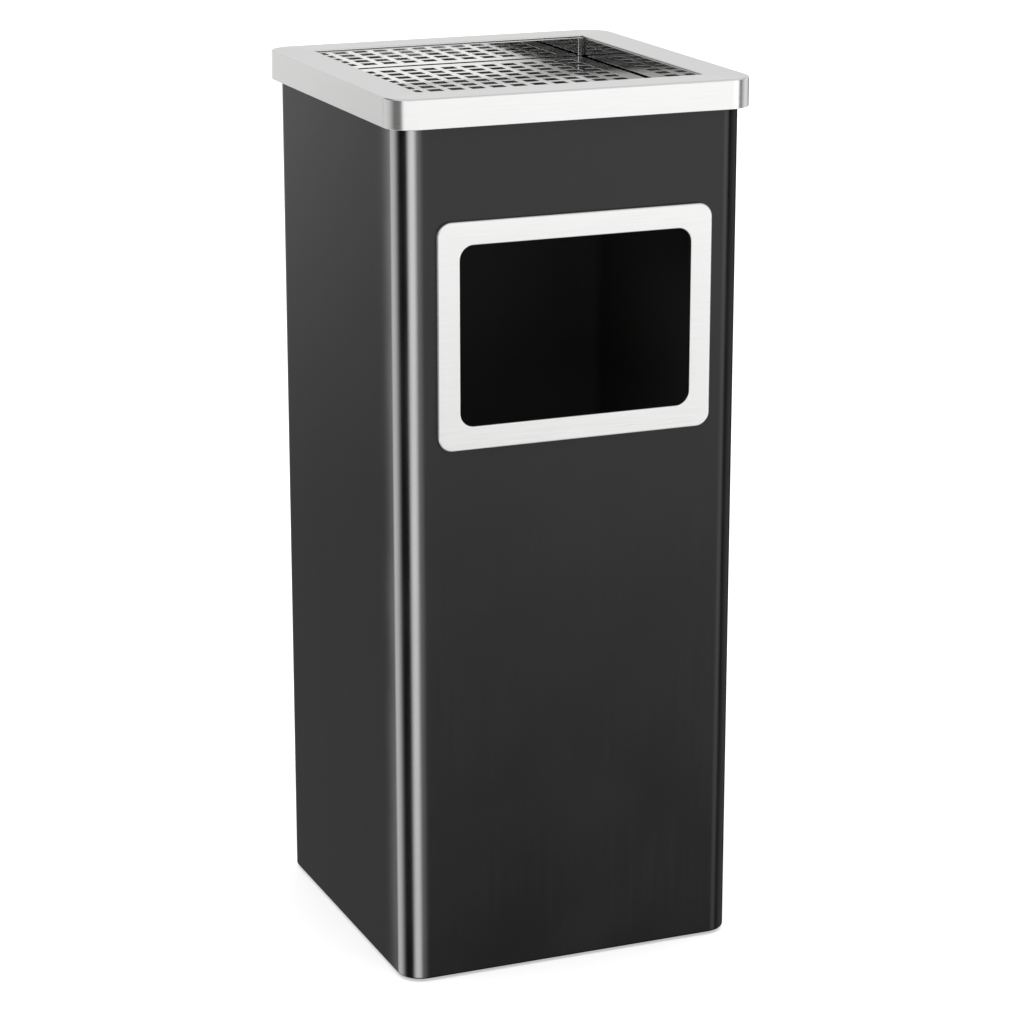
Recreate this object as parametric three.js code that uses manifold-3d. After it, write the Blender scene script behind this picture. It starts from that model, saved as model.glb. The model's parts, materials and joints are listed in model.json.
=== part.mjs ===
// Square ashtray bin: a painted steel housing with a rubbish opening in its front, a lift-off
// stainless lid that holds the ash pan and its perforated grille, and a removable steel pail.
// Millimetres, +Z up. The origin is on the floor under the middle of the bin, and the rubbish
// opening faces -Y.

import * as THREE from "three";
import { mergeVertices } from "three/addons/utils/BufferGeometryUtils.js";
import Module from "manifold-3d";

const wasm = await Module();
wasm.setup();

// ---- Driving dimensions ----

const TOTAL_HEIGHT = 610;
const GAP = 0.3; // between pieces that touch on the real bin
const BEYOND = 1; // how far a cutting tool runs past the face that it opens
const ARC_SEGMENTS = 4; // a quarter circle has twice this many facets
const SMALL_SIDES = 12; // facets round studs, screw holes and rivets
const ROUND_SIDES = 16; // facets round the feet, their screws and the bail's holes

const SHELL_WIDTH = 246;
const SHELL_RADIUS = 17;
const SHELL_SHEET = 1;
const SHELL_BOTTOM = 2;
const SHELL_MOUTH_WIDTH = 232; // between the edges of the folded top flange
const SHELL_MOUTH_RADIUS = 10;
const SHELL_FOOT_WIDTH = 226; // between the edges of the folded bottom flange
const SHELL_FOOT_RADIUS = 8;

const APERTURE_CENTRE_Z = 452;
const CUTOUT_WIDTH = 173;
const CUTOUT_HEIGHT = 129;
const CUTOUT_RADIUS = 11;

const TRIM_WIDTH = 196;
const TRIM_HEIGHT = 153;
const TRIM_RADIUS = 10;
const TRIM_OPENING_WIDTH = 165;
const TRIM_OPENING_HEIGHT = 121;
const TRIM_OPENING_RADIUS = 9.5;
const TRIM_DEPTH = 3;
const TRIM_SHEET = 1;
const STUD_RADIUS = 2;
const STUD_LENGTH = 8;
const NUT_ACROSS_FLATS = 7;
const NUT_HEIGHT = 3.2;

const LID_WIDTH = 258;
const LID_RADIUS = 19;
const LID_SHEET = 1;
const LID_SKIRT_HEIGHT = 20;
const LID_OPENING_WIDTH = 204;
const LID_OPENING_RADIUS = 2;

const PAN_INSIDE_WIDTH = 206;
const PAN_INSIDE_RADIUS = 4;
const PAN_SHEET = 0.8;
const PAN_HEIGHT = 38.7;
const PAN_LIP_HEIGHT = 12; // the turned-down edge that centres the lid in the housing's mouth
const PAN_LIP_PLAY = 0.7;

const GRILLE_WIDTH = 201;
const GRILLE_RADIUS = 3;
const GRILLE_SHEET = 1;
const GRILLE_DEPTH_BELOW_RIM = 15;
const GRILLE_HOLES_PER_SIDE = 12;
const GRILLE_HOLE = 10.1;
const GRILLE_PITCH = 15.2;
const GRILLE_FRAME_INSET = 0.5; // of the band's outside from the plate's edge

const BASE_SHEET = 1;
const BASE_PLAY = 0.6; // between the base plate's edge and the housing's walls

const FOOT_RADIUS = 9;
const FOOT_EDGE = 0.5; // bevel round its tread
const FOOT_INSET = 92; // of a foot's centre from the middle, along X and along Y
const FOOT_COUNTERBORE_RADIUS = 4.4;
const FOOT_COUNTERBORE_DEPTH = 1.7;
const SCREW_RADIUS = 1.9;
const SCREW_HEAD_RADIUS = 3.8;
const SCREW_HEAD_HEIGHT = 0.9;
const SCREW_HEAD_EDGE = 0.5;
const SCREW_TOP = 8.4;

const PAIL_WIDTH = 204;
const PAIL_RADIUS = 15;
const PAIL_SHEET = 0.8;
const PAIL_TOP = 305;
const PAIL_CHIME = 8; // how far the walls run down below the bottom panel
const PAIL_PANEL_FLANGE = 7; // the panel's turned-down edge, seamed to the walls
const BEAD_HEIGHT = 5;
const BEAD_OVERHANG = 2.5;
const BEAD_ROUND = 1.5;

const BAIL_PIVOT_Z = 288;
const BAIL_WIRE_RADIUS = 2;
const BAIL_REACH = 95; // from the pivot to the middle of the grip
const BAIL_WIDTH = 217.6; // between the centre lines of the arms
const BAIL_CORNER_RADIUS = 20;
const BAIL_HOOK_RADIUS = 3;
const BAIL_HOOK_STEPS = 5;
const BAIL_CORNER_STEPS = 8;
const BAIL_END_CLEARANCE = 1.8; // between the hook's end and the pail's wall
const BAIL_REST_ANGLE = 13.6; // degrees above level, lying on the pail's bead at the back
const BAIL_SECTION_SIDES = 10;

const EAR_SHEET = 1;
const EAR_LENGTH = 24;
const EAR_BOTTOM_Z = 262;
const EAR_TOP_Z = 296;
const EAR_JOGGLE_BOTTOM_Z = 276;
const EAR_JOGGLE = 3; // how far the pierced half stands off from the riveted half
const RIVET_Z = 269;
const RIVET_SPACING = 13;
const RIVET_RADIUS = 1.6;
const RIVET_HEAD_RADIUS = 3.2;
const RIVET_HEAD_HEIGHT = 1.3;
const RIVET_SHOULDER_RADIUS = 0.7 * RIVET_HEAD_RADIUS;
const RIVET_SHOULDER_HEIGHT = 0.8 * RIVET_HEAD_HEIGHT;

// ---- Sizes that follow from them ----

const LID_UNDERSIDE = TOTAL_HEIGHT - LID_SHEET;
const SHELL_TOP = LID_UNDERSIDE - GAP;
const SHELL_FACE_Y = -SHELL_WIDTH / 2;
const SHELL_INSIDE_Y = SHELL_FACE_Y + SHELL_SHEET;
const PAN_TOP = LID_UNDERSIDE - GAP;
const PAN_BOTTOM = PAN_TOP - PAN_HEIGHT;
const PAN_FLOOR_TOP = PAN_BOTTOM + PAN_SHEET;
const GRILLE_TOP = TOTAL_HEIGHT - GRILLE_DEPTH_BELOW_RIM;
const BASE_BOTTOM = SHELL_BOTTOM + SHELL_SHEET + GAP;
const BASE_TOP = BASE_BOTTOM + BASE_SHEET;
const PAIL_BOTTOM = BASE_TOP + GAP;
const PAIL_WALL_X = PAIL_WIDTH / 2;
const TRIM_BACK_Y = SHELL_FACE_Y - GAP;
const TRIM_FRONT_Y = TRIM_BACK_Y - TRIM_DEPTH;
const STUD_X = (TRIM_WIDTH + TRIM_OPENING_WIDTH) / 4;
const STUD_OFFSET_Z = (TRIM_HEIGHT + TRIM_OPENING_HEIGHT) / 4;

// ---- Materials ----

const material = (color, roughness, metalness) =>
  new THREE.MeshStandardMaterial({ color, roughness, metalness });

const paintedSteel = () => material(0x2b2b2c, 0.35, 0.6);
const satinStainless = () => material(0xdcdcda, 0.35, 1);
const polishedStainless = () => material(0xd2d2d0, 0.08, 1);
const galvanisedSteel = () => material(0xa9adaf, 0.5, 0.9);
const zincPlated = () => material(0xb8bbbd, 0.3, 1);
const blackRubber = () => material(0x161616, 0.9, 0);

// ---- Shapes and solids ----

/** A rectangle with rounded corners, centred on the origin. */
function roundedRectangle(width, height, radius) {
  const x = width / 2 - radius;
  const y = height / 2 - radius;
  const shape = new THREE.Shape();
  shape.absarc(x, y, radius, 0, Math.PI / 2);
  shape.absarc(-x, y, radius, Math.PI / 2, Math.PI);
  shape.absarc(-x, -y, radius, Math.PI, 1.5 * Math.PI);
  shape.absarc(x, -y, radius, 1.5 * Math.PI, 2 * Math.PI);
  shape.closePath();
  return shape;
}

const roundedSquare = (width, radius) => roundedRectangle(width, width, radius);

/** A closed geometry as a solid that can be joined and cut. */
function solid(geometry) {
  const bare = geometry.clone();
  bare.deleteAttribute("normal");
  bare.deleteAttribute("uv");
  const merged = mergeVertices(bare, 1e-4);
  return new wasm.Manifold(
    new wasm.Mesh({
      numProp: 3,
      vertProperties: new Float32Array(merged.attributes.position.array),
      triVerts: new Uint32Array(merged.index.array),
    }),
  );
}

/** A solid's surface as a geometry with flat faces. */
function surface(body) {
  const mesh = body.getMesh();
  const indexed = new THREE.BufferGeometry();
  indexed.setAttribute("position", new THREE.BufferAttribute(mesh.vertProperties, 3));
  indexed.setIndex(new THREE.BufferAttribute(mesh.triVerts, 1));
  const flat = indexed.toNonIndexed();
  flat.computeVertexNormals();
  return flat;
}

/** A plan outline raised from one height to another. */
function prism(shape, bottom, top) {
  const geometry = new THREE.ExtrudeGeometry(shape, {
    depth: top - bottom,
    bevelEnabled: false,
    curveSegments: ARC_SEGMENTS,
  });
  return solid(geometry.translate(0, 0, bottom));
}

/** An outline on the front face, x across and y up from the opening's centre, from front to back. */
function frontPrism(shape, frontY, backY) {
  const geometry = new THREE.ExtrudeGeometry(shape, {
    depth: backY - frontY,
    bevelEnabled: false,
    curveSegments: ARC_SEGMENTS,
  });
  return solid(geometry.rotateX(Math.PI / 2).translate(0, backY, APERTURE_CENTRE_Z));
}

/** A bar with a round or regular section along Y, from front to back. */
function rodAlongY(radius, frontY, backY, x, z, sides) {
  const geometry = new THREE.CylinderGeometry(radius, radius, backY - frontY, sides);
  return solid(geometry.translate(x, (frontY + backY) / 2, z));
}

/** A bar with a round section along X, from left to right. */
function rodAlongX(radius, leftX, rightX, y, z, sides) {
  const geometry = new THREE.CylinderGeometry(radius, radius, rightX - leftX, sides);
  return solid(geometry.rotateZ(Math.PI / 2).translate((leftX + rightX) / 2, y, z));
}

/** A bar with a round section along Z. */
function rodAlongZ(radius, bottom, top, x, y, sides) {
  const geometry = new THREE.CylinderGeometry(radius, radius, top - bottom, sides);
  return solid(geometry.rotateX(Math.PI / 2).translate(x, y, (bottom + top) / 2));
}

const join = (bodies) => bodies.reduce((whole, body) => whole.add(body));
const cut = (body, tools) => tools.reduce((rest, tool) => rest.subtract(tool), body);

/** The square ring between two rounded squares. */
function squareRing(outerWidth, outerRadius, innerWidth, innerRadius, bottom, top) {
  const outside = prism(roundedSquare(outerWidth, outerRadius), bottom, top);
  const inside = prism(roundedSquare(innerWidth, innerRadius), bottom - BEYOND, top + BEYOND);
  return outside.subtract(inside);
}

// ---- Places of the repeated pieces ----

const CORNERS = [
  { place: "front_left", x: -1, y: -1 },
  { place: "front_right", x: 1, y: -1 },
  { place: "rear_left", x: -1, y: 1 },
  { place: "rear_right", x: 1, y: 1 },
];

const STUDS = [
  { place: "upper_left", x: -STUD_X, z: APERTURE_CENTRE_Z + STUD_OFFSET_Z },
  { place: "upper_right", x: STUD_X, z: APERTURE_CENTRE_Z + STUD_OFFSET_Z },
  { place: "lower_left", x: -STUD_X, z: APERTURE_CENTRE_Z - STUD_OFFSET_Z },
  { place: "lower_right", x: STUD_X, z: APERTURE_CENTRE_Z - STUD_OFFSET_Z },
];

const SIDES = [
  { place: "left", x: -1 },
  { place: "right", x: 1 },
];

const RIVET_YS = [-RIVET_SPACING / 2, RIVET_SPACING / 2];

// ---- Housing ----

/** The folded sheet housing, open at the top, with flanges at both ends and the front cut-out. */
function outerShell() {
  const block = prism(roundedSquare(SHELL_WIDTH, SHELL_RADIUS), SHELL_BOTTOM, SHELL_TOP);
  const inside = roundedSquare(SHELL_WIDTH - 2 * SHELL_SHEET, SHELL_RADIUS - SHELL_SHEET);
  const cavity = prism(inside, SHELL_BOTTOM + SHELL_SHEET, SHELL_TOP - SHELL_SHEET);
  const mouth = prism(
    roundedSquare(SHELL_MOUTH_WIDTH, SHELL_MOUTH_RADIUS),
    SHELL_TOP - SHELL_SHEET - BEYOND,
    SHELL_TOP + BEYOND,
  );
  const bottomOpening = prism(
    roundedSquare(SHELL_FOOT_WIDTH, SHELL_FOOT_RADIUS),
    SHELL_BOTTOM - BEYOND,
    SHELL_BOTTOM + SHELL_SHEET + BEYOND,
  );
  const cutout = frontPrism(
    roundedRectangle(CUTOUT_WIDTH, CUTOUT_HEIGHT, CUTOUT_RADIUS),
    SHELL_FACE_Y - BEYOND,
    SHELL_INSIDE_Y + BEYOND,
  );
  const studHoles = STUDS.map(({ x, z }) =>
    rodAlongY(STUD_RADIUS + GAP, SHELL_FACE_Y - BEYOND, SHELL_INSIDE_Y + BEYOND, x, z, SMALL_SIDES),
  );
  return cut(block, [cavity, mouth, bottomOpening, cutout, ...studHoles]);
}

/** The plate that closes the bottom, welded on to the bottom flange. */
function basePlate() {
  const width = SHELL_WIDTH - 2 * SHELL_SHEET - 2 * BASE_PLAY;
  const plate = prism(roundedSquare(width, SHELL_RADIUS - SHELL_SHEET - BASE_PLAY), BASE_BOTTOM, BASE_TOP);
  const screwHoles = CORNERS.map(({ x, y }) =>
    rodAlongZ(
      SCREW_RADIUS + GAP,
      BASE_BOTTOM - BEYOND,
      BASE_TOP + BEYOND,
      x * FOOT_INSET,
      y * FOOT_INSET,
      SMALL_SIDES,
    ),
  );
  return cut(plate, screwHoles);
}

/** A rubber pad with a counterbored hole, about its own axis. */
function foot() {
  const top = BASE_BOTTOM - GAP;
  const bore = SCREW_RADIUS + GAP;
  const profile = [
    new THREE.Vector2(FOOT_COUNTERBORE_RADIUS, 0),
    new THREE.Vector2(FOOT_RADIUS - FOOT_EDGE, 0),
    new THREE.Vector2(FOOT_RADIUS, FOOT_EDGE),
    new THREE.Vector2(FOOT_RADIUS, top),
    new THREE.Vector2(bore, top),
    new THREE.Vector2(bore, FOOT_COUNTERBORE_DEPTH),
    new THREE.Vector2(FOOT_COUNTERBORE_RADIUS, FOOT_COUNTERBORE_DEPTH),
    new THREE.Vector2(FOOT_COUNTERBORE_RADIUS, 0),
  ];
  return solid(new THREE.LatheGeometry(profile, ROUND_SIDES).rotateX(Math.PI / 2));
}

/** A pan-head screw, head down, about its own axis. */
function footScrew() {
  const seat = FOOT_COUNTERBORE_DEPTH - GAP;
  const profile = [
    new THREE.Vector2(0, seat - SCREW_HEAD_HEIGHT),
    new THREE.Vector2(SCREW_HEAD_RADIUS - SCREW_HEAD_EDGE, seat - SCREW_HEAD_HEIGHT),
    new THREE.Vector2(SCREW_HEAD_RADIUS, seat - SCREW_HEAD_HEIGHT / 2),
    new THREE.Vector2(SCREW_HEAD_RADIUS, seat),
    new THREE.Vector2(SCREW_RADIUS, seat),
    new THREE.Vector2(SCREW_RADIUS, SCREW_TOP - SCREW_RADIUS),
    new THREE.Vector2(0, SCREW_TOP),
  ];
  return solid(new THREE.LatheGeometry(profile, ROUND_SIDES).rotateX(Math.PI / 2));
}

// ---- Front opening ----

/** The pressed frame round the opening, hollow behind, with its four welded studs. */
function openingTrim() {
  const outer = roundedRectangle(TRIM_WIDTH, TRIM_HEIGHT, TRIM_RADIUS);
  const opening = roundedRectangle(TRIM_OPENING_WIDTH, TRIM_OPENING_HEIGHT, TRIM_OPENING_RADIUS);
  const hollowOuter = roundedRectangle(
    TRIM_WIDTH - 2 * TRIM_SHEET,
    TRIM_HEIGHT - 2 * TRIM_SHEET,
    TRIM_RADIUS - TRIM_SHEET,
  );
  const hollowInner = roundedRectangle(
    TRIM_OPENING_WIDTH + 2 * TRIM_SHEET,
    TRIM_OPENING_HEIGHT + 2 * TRIM_SHEET,
    TRIM_OPENING_RADIUS + TRIM_SHEET,
  );
  const hollowFrontY = TRIM_FRONT_Y + TRIM_SHEET;
  const hollow = cut(frontPrism(hollowOuter, hollowFrontY, TRIM_BACK_Y + BEYOND), [
    frontPrism(hollowInner, hollowFrontY - BEYOND, TRIM_BACK_Y + 2 * BEYOND),
  ]);
  const frame = cut(frontPrism(outer, TRIM_FRONT_Y, TRIM_BACK_Y), [
    frontPrism(opening, TRIM_FRONT_Y - BEYOND, TRIM_BACK_Y + BEYOND),
    hollow,
  ]);
  const studFrontY = TRIM_FRONT_Y + TRIM_SHEET / 2;
  const studs = STUDS.map(({ x, z }) =>
    rodAlongY(STUD_RADIUS, studFrontY, TRIM_BACK_Y + STUD_LENGTH, x, z, SMALL_SIDES),
  );
  return join([frame, ...studs]);
}

/** The hexagon nut that holds one stud from inside the housing. */
function trimNut({ x, z }) {
  const frontY = SHELL_INSIDE_Y + GAP;
  const backY = frontY + NUT_HEIGHT;
  const acrossCorners = NUT_ACROSS_FLATS / Math.cos(Math.PI / 6);
  const hexagon = rodAlongY(acrossCorners / 2, frontY, backY, x, z, 6);
  const bore = rodAlongY(STUD_RADIUS + GAP, frontY - BEYOND, backY + BEYOND, x, z, SMALL_SIDES);
  return hexagon.subtract(bore);
}

// ---- Lid ----

/** The stainless rim that caps the housing: a flat frame with a skirt round it. */
function lidRim() {
  const skirtBottom = TOTAL_HEIGHT - LID_SKIRT_HEIGHT;
  const block = prism(roundedSquare(LID_WIDTH, LID_RADIUS), skirtBottom, TOTAL_HEIGHT);
  const underside = prism(
    roundedSquare(LID_WIDTH - 2 * LID_SHEET, LID_RADIUS - LID_SHEET),
    skirtBottom - BEYOND,
    LID_UNDERSIDE,
  );
  const opening = prism(
    roundedSquare(LID_OPENING_WIDTH, LID_OPENING_RADIUS),
    LID_UNDERSIDE - BEYOND,
    TOTAL_HEIGHT + BEYOND,
  );
  return cut(block, [underside, opening]);
}

/** The ash pan: a square dish with a flange under the rim and a turned-down lip. */
function ashPan() {
  const dishWidth = PAN_INSIDE_WIDTH + 2 * PAN_SHEET;
  const dish = prism(roundedSquare(dishWidth, PAN_INSIDE_RADIUS + PAN_SHEET), PAN_BOTTOM, PAN_TOP);
  const lipWidth = SHELL_MOUTH_WIDTH - 2 * PAN_LIP_PLAY;
  const lipRadius = SHELL_MOUTH_RADIUS - PAN_LIP_PLAY;
  const flange = prism(roundedSquare(lipWidth, lipRadius), PAN_TOP - PAN_SHEET, PAN_TOP);
  const lip = squareRing(
    lipWidth,
    lipRadius,
    lipWidth - 2 * PAN_SHEET,
    lipRadius - PAN_SHEET,
    PAN_TOP - PAN_LIP_HEIGHT,
    PAN_TOP,
  );
  const insideShape = roundedSquare(PAN_INSIDE_WIDTH, PAN_INSIDE_RADIUS);
  const inside = prism(insideShape, PAN_FLOOR_TOP, PAN_TOP + BEYOND);
  return cut(join([dish, flange, lip]), [inside]);
}

/** The perforated plate of the grille: the holes are where two sets of parallel slots cross. */
function grillePlate() {
  const plate = prism(roundedSquare(GRILLE_WIDTH, GRILLE_RADIUS), GRILLE_TOP - GRILLE_SHEET, GRILLE_TOP);
  const span = GRILLE_PITCH * (GRILLE_HOLES_PER_SIDE - 1) + GRILLE_HOLE;
  const depth = GRILLE_SHEET + 2 * BEYOND;
  const centres = Array.from(
    { length: GRILLE_HOLES_PER_SIDE },
    (_, i) => (i - (GRILLE_HOLES_PER_SIDE - 1) / 2) * GRILLE_PITCH,
  );
  const slotZ = GRILLE_TOP - GRILLE_SHEET / 2;
  const slot = (width, length, x, y) =>
    solid(new THREE.BoxGeometry(width, length, depth).translate(x, y, slotZ));
  const columns = centres.map((x) => slot(GRILLE_HOLE, span, x, 0));
  const rows = centres.map((y) => slot(span, GRILLE_HOLE, 0, y));
  return plate.subtract(join(columns).intersect(join(rows)));
}

/** The square band under the plate's edge, on which the grille stands in the pan. */
function grilleFrame() {
  const width = GRILLE_WIDTH - 2 * GRILLE_FRAME_INSET;
  const radius = GRILLE_RADIUS - GRILLE_FRAME_INSET;
  const insideWidth = width - 2 * GRILLE_SHEET;
  const insideRadius = radius - GRILLE_SHEET;
  const top = GRILLE_TOP - GRILLE_SHEET - GAP;
  return squareRing(width, radius, insideWidth, insideRadius, PAN_FLOOR_TOP + GAP, top);
}

// ---- Pail ----

/** The pail's wall: one wrapped sheet with a rolled bead at the top, open at both ends. */
function pailWall() {
  const insideWidth = PAIL_WIDTH - 2 * PAIL_SHEET;
  const beadWidth = PAIL_WIDTH + 2 * BEAD_OVERHANG;
  const beadRadius = PAIL_RADIUS + BEAD_OVERHANG;
  const beadShape = roundedSquare(beadWidth - 2 * BEAD_ROUND, beadRadius - BEAD_ROUND);
  const bead = new THREE.ExtrudeGeometry(beadShape, {
    depth: BEAD_HEIGHT - 2 * BEAD_ROUND,
    bevelThickness: BEAD_ROUND,
    bevelSize: BEAD_ROUND,
    bevelSegments: 2,
    curveSegments: ARC_SEGMENTS,
  });
  const sleeve = prism(roundedSquare(PAIL_WIDTH, PAIL_RADIUS), PAIL_BOTTOM, PAIL_TOP);
  const beadSolid = solid(bead.translate(0, 0, PAIL_TOP - BEAD_HEIGHT + BEAD_ROUND));
  const inside = prism(
    roundedSquare(insideWidth, PAIL_RADIUS - PAIL_SHEET),
    PAIL_BOTTOM - BEYOND,
    PAIL_TOP + BEYOND,
  );
  const rivetHoles = SIDES.flatMap(({ x }) => {
    const inner = x * PAIL_WALL_X - 2 * BEYOND;
    const outer = x * PAIL_WALL_X + 2 * BEYOND;
    return RIVET_YS.map((y) => rodAlongX(RIVET_RADIUS + GAP, inner, outer, y, RIVET_Z, SMALL_SIDES));
  });
  return cut(join([sleeve, beadSolid]), [inside, ...rivetHoles]);
}

/** The pail's bottom panel, with its edge turned down inside the wall. */
function pailBottom() {
  const width = PAIL_WIDTH - 2 * PAIL_SHEET - 2 * GAP;
  const radius = PAIL_RADIUS - PAIL_SHEET - GAP;
  const underside = PAIL_BOTTOM + PAIL_CHIME;
  const flangeBottom = underside - PAIL_PANEL_FLANGE;
  const block = prism(roundedSquare(width, radius), flangeBottom, underside + PAIL_SHEET);
  const hollow = prism(
    roundedSquare(width - 2 * PAIL_SHEET, radius - PAIL_SHEET),
    flangeBottom - BEYOND,
    underside,
  );
  return block.subtract(hollow);
}

/** The bent ear on the right wall that carries one end of the bail. */
function bailEar() {
  const near = PAIL_WALL_X + GAP;
  const far = near + EAR_JOGGLE;
  const bendTop = EAR_JOGGLE_BOTTOM_Z + EAR_JOGGLE;
  const profile = new THREE.Shape([
    new THREE.Vector2(near, EAR_BOTTOM_Z),
    new THREE.Vector2(near + EAR_SHEET, EAR_BOTTOM_Z),
    new THREE.Vector2(near + EAR_SHEET, EAR_JOGGLE_BOTTOM_Z),
    new THREE.Vector2(far + EAR_SHEET, bendTop),
    new THREE.Vector2(far + EAR_SHEET, EAR_TOP_Z),
    new THREE.Vector2(far, EAR_TOP_Z),
    new THREE.Vector2(far, bendTop + EAR_SHEET / 2),
    new THREE.Vector2(near, EAR_JOGGLE_BOTTOM_Z + EAR_SHEET / 2),
  ]);
  const strip = new THREE.ExtrudeGeometry(profile, { depth: EAR_LENGTH, bevelEnabled: false });
  const plate = solid(strip.rotateX(Math.PI / 2).translate(0, EAR_LENGTH / 2, 0));
  const nearEnd = near + EAR_SHEET + BEYOND;
  const farEnd = far + EAR_SHEET + BEYOND;
  const rivetHoles = RIVET_YS.map((y) =>
    rodAlongX(RIVET_RADIUS + GAP, near - BEYOND, nearEnd, y, RIVET_Z, SMALL_SIDES),
  );
  const pivotHole = rodAlongX(BAIL_WIRE_RADIUS + GAP, far - BEYOND, farEnd, 0, BAIL_PIVOT_Z, ROUND_SIDES);
  return cut(plate, [...rivetHoles, pivotHole]);
}

/** A rivet through the right wall and the ear, with a head on each side. */
function earRivet(side) {
  const innerSeat = PAIL_WALL_X - PAIL_SHEET - GAP;
  const outerSeat = PAIL_WALL_X + GAP + EAR_SHEET + GAP;
  const profile = [
    new THREE.Vector2(0, innerSeat - RIVET_HEAD_HEIGHT),
    new THREE.Vector2(RIVET_SHOULDER_RADIUS, innerSeat - RIVET_SHOULDER_HEIGHT),
    new THREE.Vector2(RIVET_HEAD_RADIUS, innerSeat),
    new THREE.Vector2(RIVET_RADIUS, innerSeat),
    new THREE.Vector2(RIVET_RADIUS, outerSeat),
    new THREE.Vector2(RIVET_HEAD_RADIUS, outerSeat),
    new THREE.Vector2(RIVET_SHOULDER_RADIUS, outerSeat + RIVET_SHOULDER_HEIGHT),
    new THREE.Vector2(0, outerSeat + RIVET_HEAD_HEIGHT),
  ];
  const lathe = new THREE.LatheGeometry(profile, SMALL_SIDES).rotateZ(-Math.PI / 2);
  return solid(lathe.translate(0, (side * RIVET_SPACING) / 2, RIVET_Z));
}

/** A curve through given points that an extrusion steps along point by point. */
class PointPath extends THREE.Curve {
  constructor(points) {
    super();
    this.points = points;
  }

  getPoint(t) {
    const place = t * (this.points.length - 1);
    const index = Math.min(Math.floor(place), this.points.length - 2);
    return this.points[index].clone().lerp(this.points[index + 1], place - index);
  }

  getPointAt(u) {
    return this.getPoint(u);
  }

  getTangentAt(u) {
    const place = Math.round(u * (this.points.length - 1));
    const before = this.points[Math.max(place - 1, 0)];
    const after = this.points[Math.min(place + 1, this.points.length - 1)];
    return after.clone().sub(before).normalize();
  }
}

/** Points on a quarter circle, turning anticlockwise from a start angle. */
function quarterCircle(x, y, radius, start, steps) {
  return Array.from({ length: steps + 1 }, (_, i) => {
    const angle = start + (i / steps) * (Math.PI / 2);
    return new THREE.Vector2(x + radius * Math.cos(angle), y + radius * Math.sin(angle));
  });
}

/** The right half of the bail's centre line in its own plane, x across and y away from the pivot. */
function bailHalfLine() {
  const hookX = BAIL_WIDTH / 2 - BAIL_HOOK_RADIUS;
  const cornerX = BAIL_WIDTH / 2 - BAIL_CORNER_RADIUS;
  const cornerY = BAIL_REACH - BAIL_CORNER_RADIUS;
  return [
    new THREE.Vector2(PAIL_WALL_X + BAIL_END_CLEARANCE, 0),
    ...quarterCircle(hookX, BAIL_HOOK_RADIUS, BAIL_HOOK_RADIUS, -Math.PI / 2, BAIL_HOOK_STEPS),
    ...quarterCircle(cornerX, cornerY, BAIL_CORNER_RADIUS, 0, BAIL_CORNER_STEPS),
  ];
}

/** The wire bail, lying back on the pail's bead. */
function bailHandle() {
  const half = bailHalfLine();
  const mirrored = half.map((point) => new THREE.Vector2(-point.x, point.y)).reverse();
  const line = [...half, ...mirrored].map((point) => new THREE.Vector3(point.x, point.y, 0));
  const corners = Array.from({ length: BAIL_SECTION_SIDES }, (_, i) => {
    const angle = (i / BAIL_SECTION_SIDES) * 2 * Math.PI;
    return new THREE.Vector2(BAIL_WIRE_RADIUS * Math.cos(angle), BAIL_WIRE_RADIUS * Math.sin(angle));
  });
  const wire = new THREE.ExtrudeGeometry(new THREE.Shape(corners), {
    steps: line.length - 1,
    extrudePath: new PointPath(line),
  });
  const rest = THREE.MathUtils.degToRad(BAIL_REST_ANGLE);
  return solid(wire.rotateX(rest).translate(0, 0, BAIL_PIVOT_Z));
}

// ---- Assembly ----

function piece(name, body, material) {
  const mesh = new THREE.Mesh(surface(body), material);
  mesh.name = name;
  return mesh;
}

function housing() {
  const group = new THREE.Group();
  group.add(piece("outer_shell", outerShell(), paintedSteel()));
  group.add(piece("base_plate", basePlate(), paintedSteel()));
  group.add(piece("opening_trim", openingTrim(), satinStainless()));
  for (const stud of STUDS) group.add(piece("trim_nut_" + stud.place, trimNut(stud), zincPlated()));
  for (const { place, x, y } of CORNERS) {
    const corner = new THREE.Group();
    corner.position.set(x * FOOT_INSET, y * FOOT_INSET, 0);
    corner.add(piece("foot_" + place, foot(), blackRubber()));
    corner.add(piece("foot_screw_" + place, footScrew(), zincPlated()));
    group.add(corner);
  }
  return group;
}

function lid() {
  const group = new THREE.Group();
  group.add(piece("lid_rim", lidRim(), satinStainless()));
  group.add(piece("ash_pan", ashPan(), polishedStainless()));
  group.add(piece("grille_plate", grillePlate(), polishedStainless()));
  group.add(piece("grille_frame", grilleFrame(), polishedStainless()));
  return group;
}

function pail() {
  const group = new THREE.Group();
  group.add(piece("pail_wall", pailWall(), galvanisedSteel()));
  group.add(piece("pail_bottom", pailBottom(), galvanisedSteel()));
  group.add(piece("bail_handle", bailHandle(), zincPlated()));
  for (const { place, x } of SIDES) {
    const side = new THREE.Group();
    if (x < 0) side.rotation.z = Math.PI;
    side.add(piece("bail_ear_" + place, bailEar(), galvanisedSteel()));
    side.add(piece("ear_rivet_" + place + "_front", earRivet(-x), zincPlated()));
    side.add(piece("ear_rivet_" + place + "_rear", earRivet(x), zincPlated()));
    group.add(side);
  }
  return group;
}

const bin = new THREE.Group();
bin.add(housing(), lid(), pail());

export default bin;
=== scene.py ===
"""Looks of the square ashtray bin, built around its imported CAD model.

Each CAD node is replaced by a finer piece of the same size in the same place, with the bends, rolled
edges, threads and seams of the real sheet metal, and every piece gets a procedural material.
Metres, +Z up, the rubbish opening faces -Y.
"""

import json
from collections import namedtuple
from math import ceil, cos, pi, radians, sin, tan

import bmesh
import bpy
from mathutils import Matrix, Vector


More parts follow.
